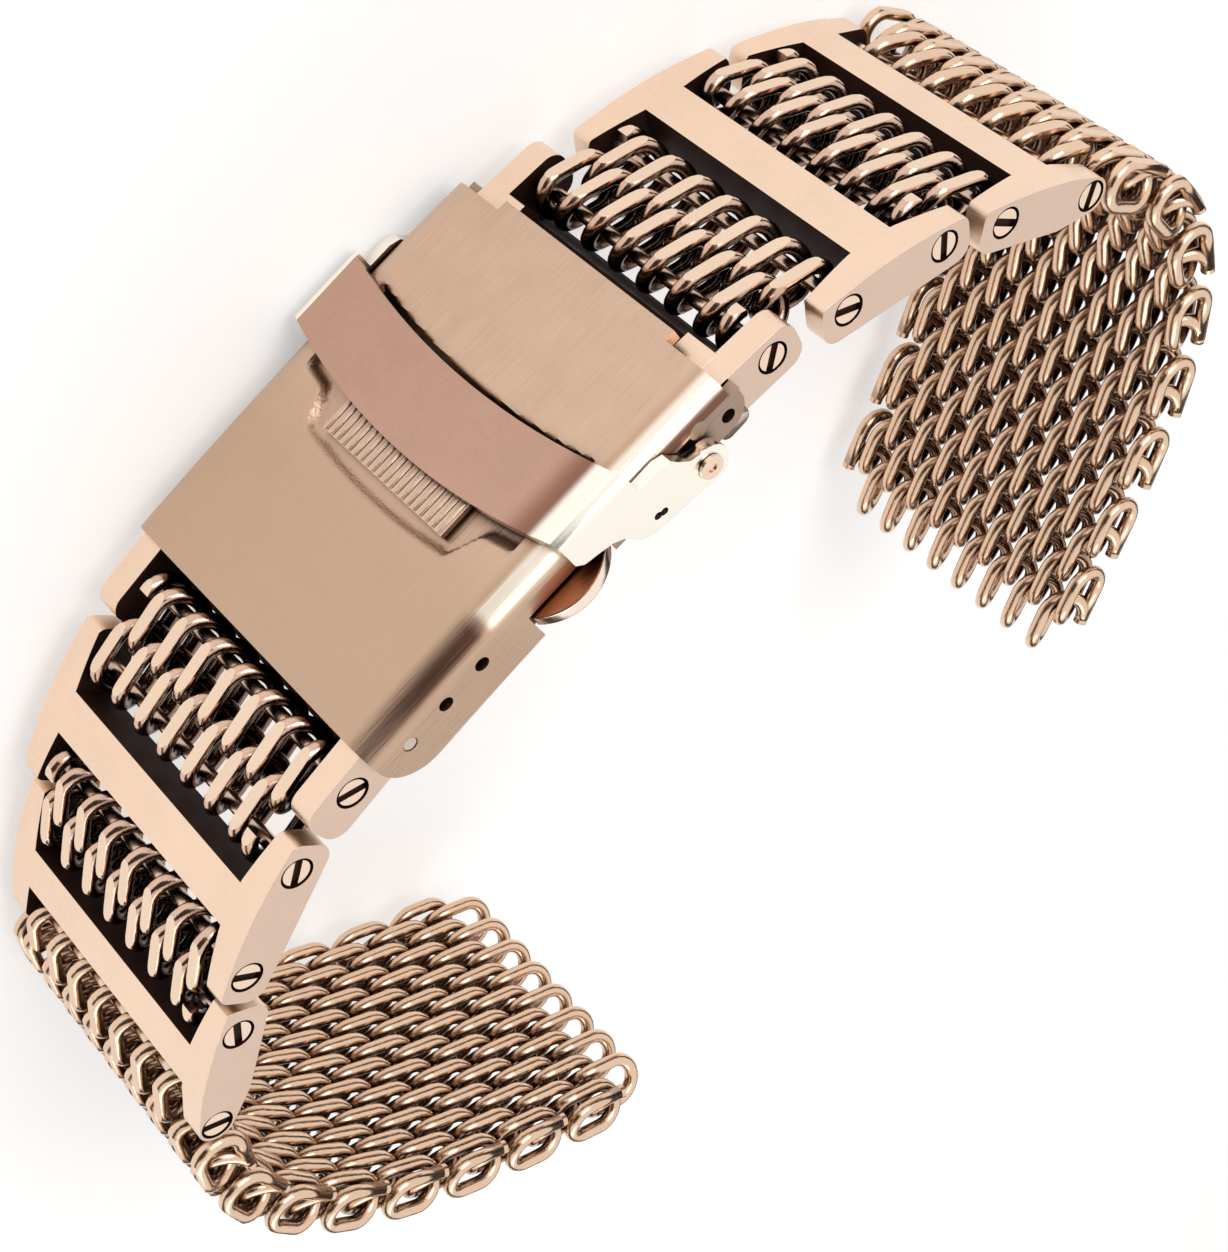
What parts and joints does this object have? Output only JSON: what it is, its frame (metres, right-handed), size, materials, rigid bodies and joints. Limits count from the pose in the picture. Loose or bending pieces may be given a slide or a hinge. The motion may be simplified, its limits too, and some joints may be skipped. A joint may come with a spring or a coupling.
{
  "type": "watch band",
  "caption": "Flat spiral mesh watch band with open links, a fold-over clasp with two push-buttons and a safety flap, closed and lying on its edge.",
  "frame": {"origin": "centre of the outline seen along the band's width, on the plane that the band lies on", "axes": "+Z across the band's width, +Y out through the middle of the clasp's cover, +X along the clasp towards the half of the band that hangs on the long blade"},
  "size_m": [0.0848, 0.0544, 0.0267],
  "materials": {
    "cover": "satin along the band",
    "flap": "satin top, polished arms",
    "link": "polished edges, satin faces",
    "mesh": "satin, ground flat on the outside",
    "blade": "satin",
    "button": "dark satin top, bright rim",
    "pin": "plain"
  },
  "bodies": {
    "cover": {"clasp_cover": "cover", "cover_hinge_pin": "pin", "lower_spring_bar": "pin", "flap_rivets": "flap"},
    "flap": {"safety_flap": "flap", "thumb_grip": "cover"},
    "middle_blade": {"middle_blade": "blade"},
    "long_blade": {"long_blade": "blade", "blade_hinge_pin": "pin", "upper_spring_bar": "pin", "button_spring_left": "pin", "button_spring_right": "pin"},
    "button_left": {"button_left": "button"},
    "button_right": {"button_right": "button"},
    "upper_end_link": {"upper_end_link": "link", "upper_end_rod": "pin"},
    "upper_row_1": {"upper_row_1": "mesh"},
    "upper_row_2": {"upper_row_2": "mesh"},
    "upper_link_1": {"upper_link_1": "link", "upper_link_1_rods": "pin"},
    "upper_row_3": {"upper_row_3": "mesh"},
    "upper_row_4": {"upper_row_4": "mesh"},
    "upper_link_2": {"upper_link_2": "link", "upper_link_2_rods": "pin"},
    "upper_row_5": {"upper_row_5": "mesh"},
    "upper_mesh_1": {"upper_mesh_1": "mesh"},
    "upper_mesh_2": {"upper_mesh_2": "mesh"},
    "upper_mesh_3": {"upper_mesh_3": "mesh"},
    "upper_mesh_4": {"upper_mesh_4": "mesh"},
    "upper_mesh_5": {"upper_mesh_5": "mesh"},
    "upper_mesh_6": {"upper_mesh_6": "mesh"},
    "upper_mesh_7": {"upper_mesh_7": "mesh"},
    "upper_mesh_8": {"upper_mesh_8": "mesh"},
    "lower_end_link": {"lower_end_link": "link", "lower_end_rod": "pin"},
    "lower_row_1": {"lower_row_1": "mesh"},
    "lower_row_2": {"lower_row_2": "mesh"},
    "lower_link_1": {"lower_link_1": "link", "lower_link_1_rods": "pin"},
    "lower_row_3": {"lower_row_3": "mesh"},
    "lower_row_4": {"lower_row_4": "mesh"},
    "lower_link_2": {"lower_link_2": "link", "lower_link_2_rods": "pin"},
    "lower_row_5": {"lower_row_5": "mesh"},
    "lower_mesh_1": {"lower_mesh_1": "mesh"},
    "lower_mesh_2": {"lower_mesh_2": "mesh"},
    "lower_mesh_3": {"lower_mesh_3": "mesh"},
    "lower_mesh_4": {"lower_mesh_4": "mesh"},
    "lower_mesh_5": {"lower_mesh_5": "mesh"},
    "lower_mesh_6": {"lower_mesh_6": "mesh"},
    "lower_mesh_7": {"lower_mesh_7": "mesh"},
    "lower_mesh_8": {"lower_mesh_8": "mesh"}
  },
  "joints": [
    {"name": "flap_lift", "type": "hinge", "parent": "cover", "child": "flap", "pos_m": [0.00822, 0.02247, 0.01335], "axis": [0, 0, 1], "range_deg": [-110, 0]},
    {"name": "clasp_unfold", "type": "hinge", "parent": "cover", "child": "middle_blade", "pos_m": [0.00906, 0.02417, 0.01335], "axis": [0, 0, 1], "range_deg": [0, 170]},
    {"name": "blade_fold", "type": "hinge", "parent": "middle_blade", "child": "long_blade", "pos_m": [-0.01004, 0.02327, 0.01335], "axis": [0, 0, 1], "range_deg": [-170, 0]},
    {"name": "button_left_press", "type": "slide", "parent": "long_blade", "child": "button_left", "axis": [0, 0, 1], "range_m": [0, 0.0008], "stiffness_N_per_m": 1000, "springref_m": -0.0006, "deforming": ["button_spring_left"]},
    {"name": "button_right_press", "type": "slide", "parent": "long_blade", "child": "button_right", "axis": [0, 0, -1], "range_m": [0, 0.0008], "stiffness_N_per_m": 1000, "springref_m": -0.0006, "deforming": ["button_spring_right"]},
    {"name": "upper_end_link_hinge", "type": "hinge", "parent": "long_blade", "child": "upper_end_link", "pos_m": [0.01087, 0.02162, 0.01335], "axis": [0, 0, 1], "range_deg": [-20, 8]},
    {"name": "upper_row_1_hinge", "type": "hinge", "parent": "upper_end_link", "child": "upper_row_1", "pos_m": [0.01476, 0.02254, 0.01335], "axis": [0, 0, 1], "range_deg": [-7, 8]},
    {"name": "upper_row_2_hinge", "type": "hinge", "parent": "upper_row_1", "child": "upper_row_2", "pos_m": [0.01722, 0.02148, 0.01335], "axis": [0, 0, 1], "range_deg": [-10, 8]},
    {"name": "upper_link_1_hinge", "type": "hinge", "parent": "upper_row_2", "child": "upper_link_1", "pos_m": [0.01968, 0.02041, 0.01335], "axis": [0, 0, 1], "range_deg": [-7, 8]},
    {"name": "upper_row_3_hinge", "type": "hinge", "parent": "upper_link_1", "child": "upper_row_3", "pos_m": [0.0262, 0.01787, 0.01335], "axis": [0, 0, 1], "range_deg": [-7, 8]},
    {"name": "upper_row_4_hinge", "type": "hinge", "parent": "upper_row_3", "child": "upper_row_4", "pos_m": [0.02811, 0.01645, 0.01335], "axis": [0, 0, 1], "range_deg": [-10, 8]},
    {"name": "upper_link_2_hinge", "type": "hinge", "parent": "upper_row_4", "child": "upper_link_2", "pos_m": [0.03002, 0.01504, 0.01335], "axis": [0, 0, 1], "range_deg": [-7, 8]},
    {"name": "upper_row_5_hinge", "type": "hinge", "parent": "upper_link_2", "child": "upper_row_5", "pos_m": [0.0354, 0.01056, 0.01335], "axis": [0, 0, 1], "range_deg": [-7, 8]},
    {"name": "upper_mesh_1_hinge", "type": "hinge", "parent": "upper_row_5", "child": "upper_mesh_1", "pos_m": [0.0374, 0.00876, 0.01335], "axis": [0, 0, 1], "range_deg": [-2.2, 21.8]},
    {"name": "upper_mesh_2_hinge", "type": "hinge", "parent": "upper_mesh_1", "child": "upper_mesh_2", "pos_m": [0.03997, 0.00393, 0.01335], "axis": [0, 0, 1], "range_deg": [-4.2, 19.8]},
    {"name": "upper_mesh_3_hinge", "type": "hinge", "parent": "upper_mesh_2", "child": "upper_mesh_3", "pos_m": [0.04039, -0.00153, 0.01335], "axis": [0, 0, 1], "range_deg": [-6.2, 17.8]},
    {"name": "upper_mesh_4_hinge", "type": "hinge", "parent": "upper_mesh_3", "child": "upper_mesh_4", "pos_m": [0.03895, -0.00682, 0.01335], "axis": [0, 0, 1], "range_deg": [-8.2, 15.8]},
    {"name": "upper_mesh_5_hinge", "type": "hinge", "parent": "upper_mesh_4", "child": "upper_mesh_5", "pos_m": [0.03614, -0.01153, 0.01335], "axis": [0, 0, 1], "range_deg": [-10.2, 13.8]},
    {"name": "upper_mesh_6_hinge", "type": "hinge", "parent": "upper_mesh_5", "child": "upper_mesh_6", "pos_m": [0.03244, -0.01559, 0.01335], "axis": [0, 0, 1], "range_deg": [-12.2, 11.8]},
    {"name": "upper_mesh_7_hinge", "type": "hinge", "parent": "upper_mesh_6", "child": "upper_mesh_7", "pos_m": [0.02822, -0.01913, 0.01335], "axis": [0, 0, 1], "range_deg": [-14.2, 9.8]},
    {"name": "upper_mesh_8_hinge", "type": "hinge", "parent": "upper_mesh_7", "child": "upper_mesh_8", "pos_m": [0.0238, -0.02239, 0.01335], "axis": [0, 0, 1], "range_deg": [-16.2, 7.8]},
    {"name": "lower_end_link_hinge", "type": "hinge", "parent": "cover", "child": "lower_end_link", "pos_m": [-0.01314, 0.02399, 0.01335], "axis": [0, 0, 1], "range_deg": [-4, 20]},
    {"name": "lower_row_1_hinge", "type": "hinge", "parent": "lower_end_link", "child": "lower_row_1", "pos_m": [-0.01712, 0.02357, 0.01335], "axis": [0, 0, 1], "range_deg": [-8, 7]},
    {"name": "lower_row_2_hinge", "type": "hinge", "parent": "lower_row_1", "child": "lower_row_2", "pos_m": [-0.01972, 0.02294, 0.01335], "axis": [0, 0, 1], "range_deg": [-8, 10]},
    {"name": "lower_link_1_hinge", "type": "hinge", "parent": "lower_row_2", "child": "lower_link_1", "pos_m": [-0.02232, 0.02231, 0.01335], "axis": [0, 0, 1], "range_deg": [-8, 7]},
    {"name": "lower_row_3_hinge", "type": "hinge", "parent": "lower_link_1", "child": "lower_row_3", "pos_m": [-0.02858, 0.01918, 0.01335], "axis": [0, 0, 1], "range_deg": [-8, 7]},
    {"name": "lower_row_4_hinge", "type": "hinge", "parent": "lower_row_3", "child": "lower_row_4", "pos_m": [-0.03012, 0.01764, 0.01335], "axis": [0, 0, 1], "range_deg": [-8, 10]},
    {"name": "lower_link_2_hinge", "type": "hinge", "parent": "lower_row_4", "child": "lower_link_2", "pos_m": [-0.03165, 0.0161, 0.01335], "axis": [0, 0, 1], "range_deg": [-8, 7]},
    {"name": "lower_row_5_hinge", "type": "hinge", "parent": "lower_link_2", "child": "lower_row_5", "pos_m": [-0.03694, 0.01151, 0.01335], "axis": [0, 0, 1], "range_deg": [-8, 7]},
    {"name": "lower_mesh_1_hinge", "type": "hinge", "parent": "lower_row_5", "child": "lower_mesh_1", "pos_m": [-0.03852, 0.0092, 0.01335], "axis": [0, 0, 1], "range_deg": [-18.3, 5.7]},
    {"name": "lower_mesh_2_hinge", "type": "hinge", "parent": "lower_mesh_1", "child": "lower_mesh_2", "pos_m": [-0.04019, 0.00441, 0.01335], "axis": [0, 0, 1], "range_deg": [-16.9, 7.1]},
    {"name": "lower_mesh_3_hinge", "type": "hinge", "parent": "lower_mesh_2", "child": "lower_mesh_3", "pos_m": [-0.04032, -0.00068, 0.01335], "axis": [0, 0, 1], "range_deg": [-15.5, 8.5]},
    {"name": "lower_mesh_4_hinge", "type": "hinge", "parent": "lower_mesh_3", "child": "lower_mesh_4", "pos_m": [-0.03913, -0.00563, 0.01335], "axis": [0, 0, 1], "range_deg": [-14.1, 9.9]},
    {"name": "lower_mesh_5_hinge", "type": "hinge", "parent": "lower_mesh_4", "child": "lower_mesh_5", "pos_m": [-0.03691, -0.01021, 0.01335], "axis": [0, 0, 1], "range_deg": [-12.8, 11.2]},
    {"name": "lower_mesh_6_hinge", "type": "hinge", "parent": "lower_mesh_5", "child": "lower_mesh_6", "pos_m": [-0.03396, -0.01437, 0.01335], "axis": [0, 0, 1], "range_deg": [-11.4, 12.6]},
    {"name": "lower_mesh_7_hinge", "type": "hinge", "parent": "lower_mesh_6", "child": "lower_mesh_7", "pos_m": [-0.03054, -0.01815, 0.01335], "axis": [0, 0, 1], "range_deg": [-10, 14]},
    {"name": "lower_mesh_8_hinge", "type": "hinge", "parent": "lower_mesh_7", "child": "lower_mesh_8", "pos_m": [-0.02687, -0.02169, 0.01335], "axis": [0, 0, 1], "range_deg": [-8.6, 15.4]}
  ],
  "couplings": [
    {"joint": "blade_fold", "follows": "clasp_unfold", "ratio": -1}
  ]
}
